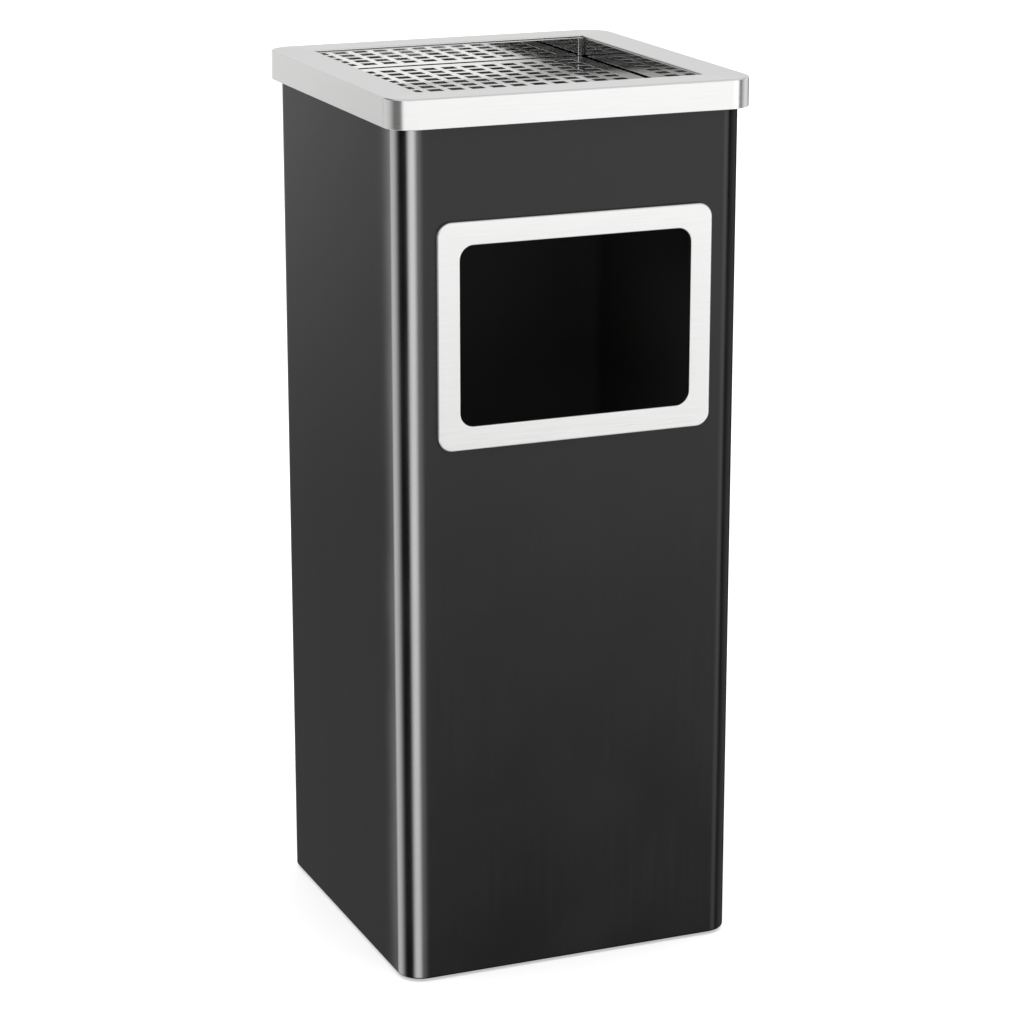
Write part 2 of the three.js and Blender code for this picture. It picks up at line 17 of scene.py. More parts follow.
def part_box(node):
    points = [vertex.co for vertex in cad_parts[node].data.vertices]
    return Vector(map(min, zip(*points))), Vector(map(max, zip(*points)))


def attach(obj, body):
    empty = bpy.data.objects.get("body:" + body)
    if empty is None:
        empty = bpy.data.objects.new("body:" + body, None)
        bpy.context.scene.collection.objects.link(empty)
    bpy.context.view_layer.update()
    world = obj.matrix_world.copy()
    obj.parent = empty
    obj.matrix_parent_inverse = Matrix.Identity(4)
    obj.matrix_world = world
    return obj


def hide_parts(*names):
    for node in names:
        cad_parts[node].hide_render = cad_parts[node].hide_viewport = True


MM = 0.001
TINY = 1e-6
GAP = 0.3 * MM  # between pieces that touch
CORNER_STEPS = 12  # facets of a quarter circle in a plan outline
BEND_STEPS = 5  # facets of a sheet bend
ROUND_SIDES = 32  # facets of a full circle, as are the next six values
NUT_SIDES = 48
FOOT_SIDES = 48
FASTENER_SIDES = 24
HOLE_SIDES = 20
RIVET_HOLE_SIDES = 16
WIRE_SIDES = 20
THREAD_STEPS = 6  # rings in one turn of a thread
EAR_BEND_STEPS = 8
EAR_CORNER_STEPS = 6
SMOOTH_BELOW = radians(38)  # edges that turn less than this are shaded smooth
SHARPEST_CORNER = 0.3 * MM
FLOOR_CORNERS = ((-1, -1), (1, -1), (1, 1), (-1, 1))

SHELL_RADIUS = 17 * MM
SHELL_SHEET = 1 * MM
SHELL_BEND = 1.6 * MM
SHELL_SEAM = (0.5 * MM, -0.2 * MM)  # half width and depth of the seam down the back
MOUTH_HALF = 116 * MM
FOOT_FLANGE_HALF = 113 * MM
CUTOUT = (86.5 * MM, 64.5 * MM, 11 * MM)  # half width, half height, corner radius
STUD_RADIUS = 2 * MM
STUD_HOLE_RADIUS = 2.3 * MM
THREAD_PITCH = 0.7 * MM
THREAD_DEPTH = 0.35 * MM
TRIM_RADIUS = 10 * MM
TRIM_OPENING = (82.5 * MM, 60.5 * MM, 9.5 * MM)  # likewise
TRIM_DEPTH = 3 * MM
TRIM_SHEET = 1 * MM
TRIM_EDGE = 1.2 * MM  # rounding of its outer edge
TRIM_LIP = 0.7 * MM  # rounding of its inner edge
NUT_FLAT_TO_CORNER = cos(pi / 6)
NUT_BORE_RADIUS = 2.1 * MM
NUT_BORE_EDGE = 0.35 * MM
NUT_FACE = 0.96  # share of its flats that its round end faces reach
NUT_CHAMFER = radians(28)
BASE_RADIUS = 15.4 * MM
BASE_PANEL_HALF = 74 * MM
BASE_PANEL_RADIUS = 14 * MM
BASE_PANEL_SLOPE = (  # inset and drop, from the panel's edge
    (0, 0),
    (0.5 * MM, 0.15 * MM),
    (1.6 * MM, 1.05 * MM),
    (2.1 * MM, 1.2 * MM),
)
SCREW_RADIUS = 1.9 * MM
SCREW_HOLE_RADIUS = 2.2 * MM
FOOT_GROOVES = (7.3 * MM, 5.9 * MM)  # radii of the tread's grooves
FOOT_COUNTERBORE = (4.4 * MM, 1.7 * MM)  # radius and depth
LID_RADIUS = 19 * MM
LID_SHEET = 1 * MM
LID_BEND = 1.3 * MM
LID_EDGE = 0.7 * MM
LID_OPENING_HALF = 102 * MM
LID_OPENING_RADIUS = 2 * MM
PAN_INSIDE_HALF = 103 * MM
PAN_INSIDE_RADIUS = 4 * MM
PAN_SHEET = 0.8 * MM
PAN_LIP_RADIUS = 9.3 * MM
PAN_LIP_HEIGHT = 12 * MM
GRILLE_HOLES = 12  # in each row and each column
GRILLE_HOLE_HALF = 5.05 * MM
GRILLE_PITCH = 15.2 * MM
GRILLE_SHEET = 1 * MM
GRILLE_RADIUS = 3 * MM
GRILLE_BAND_RADIUS = 2.5 * MM
ASH_AND_SHADE_DEPTH = 3 * MM  # how high the dark film on the pan's floor reaches above its underside: ash, and painted shade under the grille
PAIL_HALF = 102 * MM
PAIL_RADIUS = 15 * MM
PAIL_SHEET = 0.8 * MM
PAIL_BEAD_HEIGHT = 5 * MM
PAIL_SWAGES = (52 * MM, 236 * MM)  # heights of the two stiffening beads
SWAGE_PROFILE = (  # push outwards and height, from its middle
    (0, -3 * MM),
    (0.25 * MM, -2.2 * MM),
    (0.75 * MM, 0),
    (0.25 * MM, 2.2 * MM),
    (0, 3 * MM),
)
PAIL_LAP = (6 * MM, 0.8 * MM)  # half width and thickness of the lapped seam
EAR_SHEET = 1 * MM
EAR_FOOT_CORNER = 3 * MM
EAR_TOP_CORNER = 10 * MM
EAR_BEND = (275.5 * MM, 279.5 * MM)  # heights between which the ear steps outwards
RIVET_RADIUS = 1.6 * MM
RIVET_HOLE_RADIUS = 1.9 * MM
PIVOT_HOLE_RADIUS = 2.3 * MM
WIRE_RADIUS = 2 * MM
BAIL_REACH = 95 * MM
BAIL_REST_TILT = radians(13.6)

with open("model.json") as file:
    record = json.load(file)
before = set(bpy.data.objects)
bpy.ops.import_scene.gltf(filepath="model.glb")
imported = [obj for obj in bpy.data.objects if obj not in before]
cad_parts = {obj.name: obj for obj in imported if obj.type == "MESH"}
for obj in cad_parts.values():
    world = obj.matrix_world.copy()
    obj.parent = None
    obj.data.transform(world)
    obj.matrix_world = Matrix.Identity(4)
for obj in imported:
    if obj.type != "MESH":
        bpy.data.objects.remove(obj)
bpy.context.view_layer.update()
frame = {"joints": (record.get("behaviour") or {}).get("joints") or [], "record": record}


# ---- Places and sizes, from the frame ----

BODY_OF = {
    node: body for body, nodes in frame["record"]["behaviour"]["bodies"].items() for node in nodes
}
PIVOT_Z = next(joint["pos_m"][2] for joint in frame["joints"] if joint["name"] == "bail_swing")
STUD_PLACES = ("upper_left", "upper_right", "lower_left", "lower_right")
CORNERS = ("front_left", "front_right", "rear_left", "rear_right")
SIDES = ("left", "right")


def centre(node):
    low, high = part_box(node)
    return (low + high) / 2


def extent(node):
    """Half a node's width, its bottom and its top."""
    low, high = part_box(node)
    return (high.x - low.x) / 2, low.z, high.z


def half_width(node):
    return extent(node)[0]


def shift(x, y, z=0):
    return Matrix.Translation((x, y, z))


def turn(angle, axis):
    return Matrix.Rotation(angle, 4, axis)


TRIM_CENTRE = centre("opening_trim")


def add_object(name, data):
    made = bpy.data.objects.new(name, data)
    bpy.context.scene.collection.objects.link(made)
    return made


# ---- Camera ----

CAMERA_TARGET = Vector((0, -0.014, 0.295))
CAMERA_AZIMUTH = radians(-22.4)
CAMERA_ELEVATION = radians(16.1)
CAMERA_DISTANCE = 2.32
CAMERA_LENS = 116


def make_camera():
    data = bpy.data.cameras.new("camera")
    data.lens = CAMERA_LENS
    camera = add_object("camera", data)
    level = cos(CAMERA_ELEVATION)
    side, front = sin(CAMERA_AZIMUTH) * level, -cos(CAMERA_AZIMUTH) * level
    back = Vector((side, front, sin(CAMERA_ELEVATION)))
    camera.location = CAMERA_TARGET + CAMERA_DISTANCE * back
    camera.rotation_euler = (-back).to_track_quat("-Z", "Y").to_euler()
    bpy.context.scene.camera = camera


# ---- Node helpers ----


def add_node(tree, kind, settings=None, **inputs):
    """A node whose settings and inputs are set or linked by name, with _ for a space."""
    made = tree.nodes.new(kind)
    for key, value in (settings or {}).items():
        setattr(made, key, value)
    for key, value in inputs.items():
        set_input(tree, made, key.replace("_", " "), value)
    return made


def empty_tree(owner):
    """The node tree of a material, light or world, with nothing in it."""
    owner.use_nodes = True
    owner.node_tree.nodes.clear()
    return owner.node_tree


def set_input(tree, made, key, value):
    """Sets or links an input by its name, or by its number after an i."""
    socket = made.inputs[int(key[1:])] if key[0] == "i" and key[1:].isdigit() else made.inputs[key]
    if isinstance(value, bpy.types.NodeSocket):
        tree.links.new(value, socket)
    else:
        socket.default_value = value


def maths(tree, operation, a, b=0.0, clamp=False):
    made = add_node(tree, "ShaderNodeMath", {"operation": operation, "use_clamp": clamp}, i0=a, i1=b)
    return made.outputs[0]


def times(tree, a, b):
    return maths(tree, "MULTIPLY", a, b)


def plus(tree, a, b):
    return maths(tree, "ADD", a, b)


def ramp(tree, value, low, high, to_low=0.0, to_high=1.0):
    """value eased from low..high to to_low..to_high, clamped."""
    limits = {"From Min": low, "From Max": high, "To Min": to_low, "To Max": to_high}
    smooth = {"interpolation_type": "SMOOTHSTEP"}
    return add_node(tree, "ShaderNodeMapRange", smooth, Value=value, **limits).outputs["Result"]


def noise(tree, vector, scale, detail):
    made = add_node(tree, "ShaderNodeTexNoise", Vector=vector, Scale=scale, Detail=detail)
    return made.outputs["Fac"]


def vector_maths(tree, operation, a, b=None):
    made = add_node(tree, "ShaderNodeVectorMath", {"operation": operation}, i0=a)
    if b is not None:
        set_input(tree, made, "i1", b)
    return made.outputs["Value" if operation in ("DOT_PRODUCT", "LENGTH") else "Vector"]


def colour_between(tree, factor, first, second):
    made = add_node(tree, "ShaderNodeMix", {"data_type": "RGBA"})
    set_input(tree, made, "Factor", factor)
    for index, colour in ((6, first), (7, second)):
        set_input(tree, made, "i%d" % index, (*colour, 1) if isinstance(colour, tuple) else colour)
    return made.outputs[2]


def bump(tree, height, distance, under=None):
    made = add_node(tree, "ShaderNodeBump", Height=height, Distance=distance, Strength=1.0)
    if under is not None:
        set_input(tree, made, "Normal", under)
    return made.outputs["Normal"]


# ---- Studio light ----

# A soft panel far round the bin, as directions: its azimuth in degrees from the front (-Y) towards the
# left (-X), its half width and edge softness in degrees, the elevations between which it rises and then
# fades, and its brightness.
Panel = namedtuple("Panel", "azimuth half soft rise fade bright")
PANELS = [
    Panel(0, 52, 7, (-30, -8), (3, 7), 1.23),
    Panel(-47, 6, 10, (-60, -20), (0, 4), 0.7),
    Panel(184, 22, 5, (-17, -5), (-1, 4), 0.75),
    Panel(164, 24, 8, (-60, -20), (-1, 4), 0.17),
    Panel(122, 20, 10, (-60, -20), (-1, 4), 0.2),
    Panel(-95, 14, 16, (-60, -20), (4, 14), 0.25),
    Panel(-158, 50, 25, (0, 6), (28, 50), 0.8),
    Panel(-9.5, 13.3, 1.2, (3, 6.5), (9.5, 12.5), 1.7),
    Panel(0, 90, 25, (10, 13), (28, 50), 0.95),
]
ROOM_BRIGHT = 0.02
CEILING_BRIGHT = 0.75
CEILING_RISE = (28, 50)  # elevations between which the ceiling grows bright

# A strip light that shapes single pieces: the corner of the housing that it stands off from, its azimuth
# round that corner, its distance, its width, the share of its half width that is fully bright, its
# radiance, and the pieces that it lights. The housing's own strips stand close to its corners, so that
# they draw bright lines down the bends and stay off the flat faces.
Strip = namedtuple("Strip", "corner azimuth off width core bright lit")
FRONT_LEFT = (-1, -1)
REAR_RIGHT = (1, 1)
HOUSING = ("outer_shell",)
METAL = ("lid_rim", "opening_trim")
STRIPS = [
    Strip(FRONT_LEFT, 30.5, 0.035, 0.0275, 0.16, 19, HOUSING),
    Strip(FRONT_LEFT, 10, 0.035, 0.026, 0.16, 2.5, HOUSING),
    Strip(FRONT_LEFT, 110, 0.035, 0.049, 0.16, 8.8, HOUSING),
    Strip(REAR_RIGHT, -135, 0.035, 0.024, 0.16, 3, HOUSING),
    Strip(FRONT_LEFT, 132, 1.2, 2.6, 0.76, 0.6, METAL),
    Strip(FRONT_LEFT, 72, 1.2, 1.3, 0.4, 0.17, METAL),
    Strip(FRONT_LEFT, -100, 1.2, 2, 0.16, 0.7, METAL),
]
STRIP_HEIGHT = 1.1
STRIP_MIDDLE = 0.25  # height of a strip's middle
STRIP_SPREAD = radians(110)
UNDERLIGHT_SIZE = 8
UNDERLIGHT_DEPTH = 1
UNDERLIGHT_RADIANCE = 0.7
SUN_ANGLE = radians(100)
SUN_STRENGTH = 2.9
FLOOR_HALF = 40
FLOOR_TONE = (0.55, 0.55, 0.55, 1)
WHITE = (1, 1, 1, 1)
FLOOR_GLOW = 0.46  # lifts the shadow on the floor


def elevation_sine(degrees):
    return sin(radians(degrees))


def away(azimuth):
    """The level direction at an azimuth in degrees from the front towards the left."""
    angle = radians(azimuth)
    return Vector((-sin(angle), -cos(angle), 0))


def panel_light(tree, panel, across, up):
    """How bright one panel is in the looked-at direction."""
    facing = vector_maths(tree, "DOT_PRODUCT", across, away(panel.azimuth))
    edge = cos(radians(min(panel.half + panel.soft, 180)))
    core = cos(radians(max(panel.half - panel.soft, 0)))
    sideways = ramp(tree, facing, edge, core)
    rising = ramp(tree, up, *map(elevation_sine, panel.rise))
    fading = ramp(tree, up, *map(elevation_sine, panel.fade), 1.0, 0.0)
    shape = times(tree, sideways, times(tree, rising, fading))
    return times(tree, shape, panel.bright)


def make_world():
    world = bpy.data.worlds.new("studio")
    bpy.context.scene.world = world
    tree = empty_tree(world)
    direction = add_node(tree, "ShaderNodeTexCoord").outputs["Generated"]
    up = add_node(tree, "ShaderNodeSeparateXYZ", Vector=direction).outputs["Z"]
    across = vector_maths(tree, "NORMALIZE", vector_maths(tree, "MULTIPLY", direction, (1, 1, 0)))
    light = ramp(tree, up, *map(elevation_sine, CEILING_RISE), ROOM_BRIGHT, CEILING_BRIGHT)
    for panel in PANELS:
        light = plus(tree, panel_light(tree, panel, across, up), light)
    studio = add_node(tree, "ShaderNodeBackground", Color=WHITE, Strength=light)
    backdrop = add_node(tree, "ShaderNodeBackground", Color=WHITE, Strength=1.0)
    seen = add_node(tree, "ShaderNodeLightPath").outputs["Is Camera Ray"]
    both = add_node(tree, "ShaderNodeMixShader", Fac=seen, i1=studio.outputs[0], i2=backdrop.outputs[0])
    add_node(tree, "ShaderNodeOutputWorld", Surface=both.outputs[0])


def make_floor():
    """A plain pale floor, clear from below. Only the camera sees it: panels light the bin from below."""
    mesh = bpy.data.meshes.new("floor")
    mesh.from_pydata([(x * FLOOR_HALF, y * FLOOR_HALF, 0) for x, y in FLOOR_CORNERS], [], [(0, 1, 2, 3)])
    floor = add_object("floor", mesh)
    made = bpy.data.materials.new("pale_floor")
    tree = empty_tree(made)
    matt = add_node(tree, "ShaderNodeBsdfDiffuse", Color=FLOOR_TONE)
    glow = add_node(tree, "ShaderNodeEmission", Color=WHITE, Strength=FLOOR_GLOW)
    pale = add_node(tree, "ShaderNodeAddShader", i0=matt.outputs[0], i1=glow.outputs[0])
    clear = add_node(tree, "ShaderNodeBsdfTransparent")
    below = add_node(tree, "ShaderNodeNewGeometry").outputs["Backfacing"]
    both = add_node(tree, "ShaderNodeMixShader", Fac=below, i1=pale.outputs[0], i2=clear.outputs[0])
    add_node(tree, "ShaderNodeOutputMaterial", Surface=both.outputs[0])
    mesh.materials.append(made)
    floor.visible_glossy = False
    floor.visible_diffuse = False
    floor.visible_shadow = False


def make_sun():
    """A wide soft sun overhead that keeps the floor evenly pale; it isn't seen in reflections."""
    data = bpy.data.lights.new("soft_sun", "SUN")
    data.angle = SUN_ANGLE
    data.energy = SUN_STRENGTH
    add_object("soft_sun", data).visible_glossy = False


def area_light(name, width, height, radiance, nodes, spread=pi):
    """A rectangular light that the camera doesn't see and that lights only the named pieces.

    It has its full radiance straight ahead, and less towards the edge of its spread.
    """
    data = bpy.data.lights.new(name, "AREA")
    data.shape = "RECTANGLE"
    data.size = width
    data.size_y = height
    data.spread = spread
    gathered = 1 - spread / 2 / tan(spread / 2)
    data.energy = radiance * pi * width * height * gathered
    light = add_object(name, data)
    light.visible_camera = False
    lit = bpy.data.collections.new("lit_by_" + name)
    for node in nodes:
        lit.objects.link(bpy.data.objects["fine_" + node])
    light.light_linking.receiver_collection = lit
    return light


def make_strip(strip):
    """A tall strip light that fades towards its sides, seen only in reflections on its own pieces."""
    light = area_light("strip", strip.width, STRIP_HEIGHT, strip.bright, strip.lit, STRIP_SPREAD)
    tree = empty_tree(light.data)
    across = add_node(tree, "ShaderNodeNewGeometry").outputs["Parametric"]
    side = add_node(tree, "ShaderNodeSeparateXYZ", Vector=across).outputs["X"]
    from_middle = maths(tree, "ABSOLUTE", maths(tree, "SUBTRACT", side, 0.5))
    shape = ramp(tree, from_middle, strip.core / 2, 0.5, 1.0, 0.0)
    glow = add_node(tree, "ShaderNodeEmission", Color=WHITE, Strength=shape)
    add_node(tree, "ShaderNodeOutputLight", Surface=glow.outputs[0])
    outward = away(strip.azimuth)
    side_x, side_y = strip.corner
    reach = half_width("outer_shell") - SHELL_RADIUS
    light.location = Vector((side_x * reach, side_y * reach, STRIP_MIDDLE)) + strip.off * outward
    light.rotation_euler = outward.to_track_quat("Z", "Y").to_euler()
    light.visible_diffuse = False


def make_underlight():
    """A wide light below the floor, like light coming back from it, on every piece but the housing."""
    nodes = [node for node in BODY_OF if node != "outer_shell"]
    light = area_light("underlight", UNDERLIGHT_SIZE, UNDERLIGHT_SIZE, UNDERLIGHT_RADIANCE, nodes)
    light.location = (0, 0, -UNDERLIGHT_DEPTH)
    light.rotation_euler = (pi, 0, 0)


# ---- Materials ----

PAINT_DARK = (0.0062, 0.0063, 0.0066)
PAINT_LIGHT = (0.0098, 0.0099, 0.0102)
PAINT_INSIDE = (0.055, 0.055, 0.055)
PAINT_ROUGHNESS = (0.17, 0.23)
PAINT_DULLNESS = 0.72  # how much rougher the inside is
SATIN = (0.79, 0.79, 0.785)
SATIN_LINES = 0.93  # tone of the dark brush lines
SATIN_ROUGHNESS = 0.2
SATIN_UNEVEN = 0.04
POLISHED_DARK = (0.64, 0.64, 0.635)
POLISHED_LIGHT = (0.7, 0.7, 0.695)
POLISH = 0.02  # least roughness of the polished pieces
POLISH_WORN = 0.1  # and of the grille's plate
POLISH_UNEVEN = 0.04
# dark colour of the pan's floor: ash, and painted shade under the grille
ASH_AND_SHADE = (0.16, 0.157, 0.15)
SPANGLE_DARK = (0.36, 0.375, 0.39)
SPANGLE_LIGHT = (0.6, 0.62, 0.64)
ZINC_DARK = (0.5, 0.51, 0.52)
ZINC_LIGHT = (0.7, 0.71, 0.73)
RUBBER = (0.014, 0.014, 0.014)
RUBBER_DUST = (0.05, 0.048, 0.045)


def new_material(name, **constants):
    """A Principled material with its constant inputs set, its node tree and its shader."""
    made = bpy.data.materials.new(name)
    made.use_nodes = True
    shader = made.node_tree.nodes["Principled BSDF"]
    for key, value in constants.items():
        shader.inputs[key.replace("_", " ")].default_value = value
    return made, made.node_tree, shader


def surface(tree, shader, colour, roughness, normal):
    """Links the three inputs that vary over every material."""
    set_input(tree, shader, "Base Color", colour)
    set_input(tree, shader, "Roughness", roughness)
    set_input(tree, shader, "Normal", normal)


def grain_noise(tree, along, across, detail):
    """Noise on the piece's own map, which is in metres, by its fineness along and across the grain."""
    grain = add_node(tree, "ShaderNodeUVMap", {"uv_map": "grain"}).outputs["UV"]
    drawn = add_node(tree, "ShaderNodeMapping", Vector=grain, Scale=(along, across, 1))
    return noise(tree, drawn.outputs["Vector"], 1, detail)


def object_coordinates(tree):
    return add_node(tree, "ShaderNodeTexCoord").outputs["Object"]


def grain_tangent(tree):
    settings = {"direction_type": "UV_MAP", "uv_map": "grain"}
    return add_node(tree, "ShaderNodeTangent", settings).outputs["Tangent"]


def painted_steel():
    """Black lacquer: a faint orange peel, drawn streaks under it, uneven gloss, and a dull inside."""
    made, tree, shader = new_material("painted", IOR=1.45)
    place = object_coordinates(tree)
    clouds = noise(tree, place, 14, 4)
    streaks = grain_noise(tree, 700, 9, 3)
    peel = noise(tree, place, 900, 2)
    specks = ramp(tree, noise(tree, place, 2600, 1), 0.70, 0.78)
    tone = times(tree, streaks, clouds)
    outside = colour_between(tree, ramp(tree, tone, 0.1, 0.4), PAINT_DARK, PAINT_LIGHT)
    uneven = plus(tree, clouds, times(tree, streaks, 0.5))
    gloss = ramp(tree, uneven, 0.5, 1.0, *PAINT_ROUGHNESS)
    inside = inside_mask(tree, place)
    colour = colour_between(tree, inside, outside, PAINT_INSIDE)
    rough = plus(tree, gloss, times(tree, specks, 0.08))
    rough = maths(tree, "ADD", rough, times(tree, inside, PAINT_DULLNESS), clamp=True)
    surface(tree, shader, colour, rough, bump(tree, peel, 0.012 * MM))
    return made


def inside_mask(tree, place):
    """1 on the housing's inner faces and 0 on its outer ones, by the distance from its outside."""
    corner = half_width("outer_shell") - SHELL_RADIUS
    level = vector_maths(tree, "MULTIPLY", place, (1, 1, 0))
    mirrored = vector_maths(tree, "ABSOLUTE", level)
    beyond = vector_maths(tree, "SUBTRACT", mirrored, (corner, corner, 0))
    reach = vector_maths(tree, "LENGTH", vector_maths(tree, "MAXIMUM", beyond, (0, 0, 0)))
    middle = SHELL_RADIUS - SHELL_SHEET / 2
    return ramp(tree, reach, middle - SHELL_SHEET / 4, middle + SHELL_SHEET / 4, 1.0, 0.0)


def satin_stainless():
    """Bare metal with fine brush lines along the piece's grain."""
    made, tree, shader = new_material("satin", Metallic=1.0, Anisotropic=0.35)
    fine = grain_noise(tree, 28, 5200, 2)
    coarse = grain_noise(tree, 11, 900, 3)
    clouds = noise(tree, object_coordinates(tree), 9, 3)
    lines = plus(tree, times(tree, fine, 0.7), times(tree, coarse, 0.3))
    dark = tuple(SATIN_LINES * channel for channel in SATIN)
    colour = colour_between(tree, ramp(tree, lines, 0.3, 0.7), dark, SATIN)
    uneven = plus(tree, lines, times(tree, clouds, 0.4))
    rough = ramp(tree, uneven, 0.4, 1.0, SATIN_ROUGHNESS - SATIN_UNEVEN, SATIN_ROUGHNESS + SATIN_UNEVEN)
    surface(tree, shader, colour, rough, bump(tree, lines, 0.0018 * MM))
    set_input(tree, shader, "Tangent", grain_tangent(tree))
    return made


def polished_stainless(name, polish):
    """Polished sheet, slightly wavy from forming, with hairline scratches and a dull dark floor: ash, and
    painted shade under the grille.
    """
    made, tree, shader = new_material(name, Metallic=1.0)
    place = object_coordinates(tree)
    waves = noise(tree, place, 18, 1)
    hairlines = grain_noise(tree, 40, 2600, 1)
    haze = noise(tree, place, 60, 3)
    film_blotches = ramp(tree, noise(tree, place, 140, 4), 0.3, 0.75, 0.75, 1.0)
    height = add_node(tree, "ShaderNodeSeparateXYZ", Vector=place).outputs["Z"]
    floor_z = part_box("ash_pan")[0].z
    low = ramp(tree, height, floor_z + ASH_AND_SHADE_DEPTH / 2, floor_z + ASH_AND_SHADE_DEPTH, 1.0, 0.0)
    # the pan's floor is darkened in blotches: an ash film, and painted shade where the grille hides it
    ash_and_shade = times(tree, low, film_blotches)
    clean = colour_between(tree, haze, POLISHED_DARK, POLISHED_LIGHT)
    colour = colour_between(tree, ash_and_shade, clean, ASH_AND_SHADE)
    shine = ramp(tree, haze, 0.3, 0.75, polish, polish + POLISH_UNEVEN)
    rough = plus(tree, shine, times(tree, ash_and_shade, 0.5))
    scratched = bump(tree, hairlines, 0.0012 * MM)
    surface(tree, shader, colour, rough, bump(tree, waves, 0.05 * MM, scratched))
    return made


def galvanised_steel():
    """Hot-dip zinc: a spangle of dull and bright crystals."""
    made, tree, shader = new_material("galvanised_steel", Metallic=0.95)
    place = object_coordinates(tree)
    crystals = add_node(tree, "ShaderNodeTexVoronoi", {"feature": "F1"}, Vector=place, Scale=120.0)
    tint = add_node(tree, "ShaderNodeSeparateColor", Color=crystals.outputs["Color"])
    grains = noise(tree, place, 60, 4)
    sparkle = times(tree, tint.outputs[0], 0.65)
    shade = plus(tree, sparkle, times(tree, grains, 0.35))
    colour = colour_between(tree, shade, SPANGLE_DARK, SPANGLE_LIGHT)
    rough = ramp(tree, tint.outputs[1], 0.0, 1.0, 0.3, 0.52)
    surface(tree, shader, colour, rough, bump(tree, shade, 0.02 * MM))
    return made


def zinc_plated():
    """Bright zinc plate on small hardware, with a dulled, slightly blotchy skin."""
    made, tree, shader = new_material("zinc_plated", Metallic=1.0)
    place = object_coordinates(tree)
    blotches = noise(tree, place, 420, 4)
    tooling = grain_noise(tree, 300, 4000, 2)
    colour = colour_between(tree, blotches, ZINC_DARK, ZINC_LIGHT)
    rough = ramp(tree, blotches, 0.3, 0.7, 0.22, 0.42)
    surface(tree, shader, colour, rough, bump(tree, tooling, 0.004 * MM))
    return made


def black_rubber():
    made, tree, shader = new_material("rubber", IOR=1.5)
    place = object_coordinates(tree)
    grain = noise(tree, place, 1800, 3)
    dust = ramp(tree, noise(tree, place, 160, 4), 0.5, 0.8)
    colour = colour_between(tree, dust, RUBBER, RUBBER_DUST)
    rough = ramp(tree, grain, 0.3, 0.7, 0.72, 0.92)
    surface(tree, shader, colour, rough, bump(tree, grain, 0.03 * MM))
    return made


# ---- Outlines and profiles ----


def rounded_outline(half_x, half_y, radius, strip=None):
    """Points of a rounded rectangle, anticlockwise from the middle of its right side.

    A strip (half width, step) stands proud of the middle of the rear side by its step.
    """
    points = []
    for quarter in range(4):
        sign_x = 1 if quarter in (0, 3) else -1
        sign_y = 1 if quarter in (0, 1) else -1
        corner = Vector((sign_x * (half_x - radius), sign_y * (half_y - radius)))
        for step in range(CORNER_STEPS + 1):
            angle = (quarter + step / CORNER_STEPS) * pi / 2
            points.append(corner + radius * Vector((cos(angle), sin(angle))))
        if strip and quarter == 0:
            width, step = strip
            edge = min(abs(step), width / 2)
            points += [Vector((width, half_y)), Vector((width - edge, half_y + step))]
            points += [Vector((edge - width, half_y + step)), Vector((-width, half_y))]
    return points


def square_ring(half, radius, z, strip=None):
    return [Vector((p.x, p.y, z)) for p in rounded_outline(half, half, radius, strip)]


def front_ring(half_x, half_z, radius, y):
    """A rounded rectangle on the front, round the middle of the rubbish opening."""
    return [Vector((p.x, y, TRIM_CENTRE.z + p.y)) for p in rounded_outline(half_x, half_z, radius)]


def full_turn(sides, start=0):
    """Angles of a circle's corners, evenly spaced."""
    return [2 * pi * (i + start) / sides for i in range(sides)]


def polar(radius, angle, z):
    return Vector((radius * cos(angle), radius * sin(angle), z))


def circle_ring(radius, z, sides=ROUND_SIDES, start=0.5):
    """A circle round Z, its first point at the start, in facets from +X."""
    return [polar(radius, angle, z) for angle in full_turn(sides, start)]


def moved(ring, matrix):
    return [matrix @ point for point in ring]


def arc(middle, radius, start, stop, steps=BEND_STEPS):
    """Points of an arc in a profile, from one angle in degrees to another."""
    angles = [radians(start + (stop - start) * i / steps) for i in range(steps + 1)]
    radius_x, radius_z = radius if isinstance(radius, tuple) else (radius, radius)
    return [(middle[0] + radius_x * cos(a), middle[1] + radius_z * sin(a)) for a in angles]


def rings_of(profile, outer, radius, strip=None):
    """Square rings from (half width, height) points, their corners concentric with a given one."""
    rings = []
    for half, z in profile:
        rings.append(square_ring(half, max(radius + half - outer, SHARPEST_CORNER), z, strip))
    return rings


def threaded_rings(radius, bottom, top):
    """Rings of a threaded bar along Z, with a chamfered top end."""
    count = ceil((top - bottom) / THREAD_PITCH * THREAD_STEPS)
    rings = []
    for row in range(count + 1):
        z = bottom + (top - bottom) * row / count
        ring = []
        for i, angle in enumerate(full_turn(FASTENER_SIDES)):
            wave = abs(2 * ((z / THREAD_PITCH - i / FASTENER_SIDES) % 1) - 1)
            reach = min(radius - THREAD_DEPTH * wave, radius - THREAD_DEPTH + top - z)
            ring.append(polar(reach, angle, z))
        rings.append(ring)
    return rings


# ---- Building meshes ----


